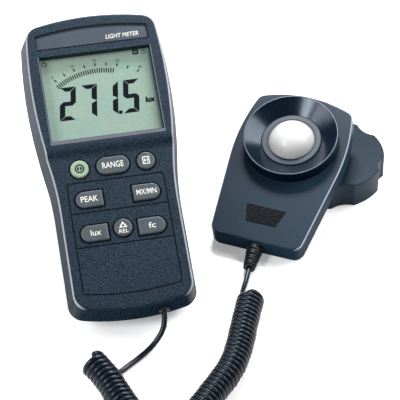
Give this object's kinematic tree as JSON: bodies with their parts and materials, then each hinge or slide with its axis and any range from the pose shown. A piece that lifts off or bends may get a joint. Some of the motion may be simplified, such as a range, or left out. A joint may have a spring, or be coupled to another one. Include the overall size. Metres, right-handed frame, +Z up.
{
  "type": "light meter",
  "caption": "Hand-held digital light meter on a tilt stand, with a domed sensor head on a coiled cord and its dust cap.",
  "frame": {"origin": "on the table, under the middle of the meter, sensor head and cap taken together", "axes": "+Z up from the table; +X across the meter's face towards the sensor head; +Y away from the reader, towards the top of the display"},
  "size_m": [0.2053, 0.2449, 0.1071],
  "materials": {
    "case": "fine spark-eroded texture",
    "sensor_case": "smooth matt",
    "header": "smooth",
    "window": "clear acrylic",
    "lcd": "reflective liquid crystal cell",
    "black_plastic": "semi-gloss",
    "rubber": "matt",
    "silicone": "silicone",
    "board": "solder mask",
    "steel": "zinc plated",
    "battery": "printed steel jacket",
    "cord": "PVC jacket, satin",
    "key": "silicone-coated",
    "power_key": "silicone-coated",
    "retainer": "satin",
    "diffuser": "translucent satin",
    "filter": "green correction glass"
  },
  "bodies": {
    "meter": {"front_case": "case", "rear_case": "case", "header_plate": "header", "display_window": "window", "lcd_glass": "lcd", "lcd_frame": "black_plastic", "contact_strips": "rubber", "main_board": "board", "board_components": "black_plastic", "keypad_mat": "silicone", "board_screws": "steel", "case_screws": "steel", "battery": "battery", "battery_snap": "black_plastic", "cord_grommet": "rubber", "cord_lead_meter": "cord", "cord_coil": "cord", "cord_lead_sensor": "cord", "sensor_front_shell": "sensor_case", "sensor_rear_shell": "sensor_case", "reflector_ring": "black_plastic", "dome_retainer": "retainer", "diffuser_dome": "diffuser", "colour_filter": "filter", "photodiode": "steel", "sensor_board": "board", "grip_pad": "rubber", "sensor_screws": "steel", "strain_relief": "rubber"},
    "key_power": {"key_power": "power_key"},
    "key_range": {"key_range": "key"},
    "key_hold": {"key_hold": "key"},
    "key_peak": {"key_peak": "key"},
    "key_max_min": {"key_max_min": "key"},
    "key_lux": {"key_lux": "key"},
    "key_rel": {"key_rel": "key"},
    "key_fc": {"key_fc": "key"},
    "tilt_stand": {"tilt_stand": "case"},
    "battery_cover": {"battery_cover": "case"},
    "dust_cap": {"dust_cap": "sensor_case"}
  },
  "joints": [
    {"name": "key_power_press", "type": "slide", "parent": "meter", "child": "key_power", "axis": [0, 0.4633, -0.8862], "range_m": [0, 0.0008], "stiffness_N_per_m": 800, "springref_m": -0.0004},
    {"name": "key_range_press", "type": "slide", "parent": "meter", "child": "key_range", "axis": [0, 0.4633, -0.8862], "range_m": [0, 0.0008], "stiffness_N_per_m": 800, "springref_m": -0.0004},
    {"name": "key_hold_press", "type": "slide", "parent": "meter", "child": "key_hold", "axis": [0, 0.4633, -0.8862], "range_m": [0, 0.0008], "stiffness_N_per_m": 800, "springref_m": -0.0004},
    {"name": "key_peak_press", "type": "slide", "parent": "meter", "child": "key_peak", "axis": [0, 0.4633, -0.8862], "range_m": [0, 0.0008], "stiffness_N_per_m": 800, "springref_m": -0.0004},
    {"name": "key_max_min_press", "type": "slide", "parent": "meter", "child": "key_max_min", "axis": [0, 0.4633, -0.8862], "range_m": [0, 0.0008], "stiffness_N_per_m": 800, "springref_m": -0.0004},
    {"name": "key_lux_press", "type": "slide", "parent": "meter", "child": "key_lux", "axis": [0, 0.4633, -0.8862], "range_m": [0, 0.0008], "stiffness_N_per_m": 800, "springref_m": -0.0004},
    {"name": "key_rel_press", "type": "slide", "parent": "meter", "child": "key_rel", "axis": [0, 0.4633, -0.8862], "range_m": [0, 0.0008], "stiffness_N_per_m": 800, "springref_m": -0.0004},
    {"name": "key_fc_press", "type": "slide", "parent": "meter", "child": "key_fc", "axis": [0, 0.4633, -0.8862], "range_m": [0, 0.0008], "stiffness_N_per_m": 800, "springref_m": -0.0004},
    {"name": "stand_fold", "type": "hinge", "parent": "meter", "child": "tilt_stand", "pos_m": [-0.06165, 0.03612, 0.0527], "axis": [1, 0, 0], "range_deg": [-75, 0]},
    {"name": "battery_cover_lift", "type": "slide", "parent": "meter", "child": "battery_cover", "axis": [0, 0.4633, -0.8862], "range_m": [0, 0.015]},
    {"name": "dust_cap_remove", "type": "slide", "parent": "meter", "child": "dust_cap", "axis": [0.5195, 0.8545, 0], "range_m": [0, 0.09]}
  ]
}
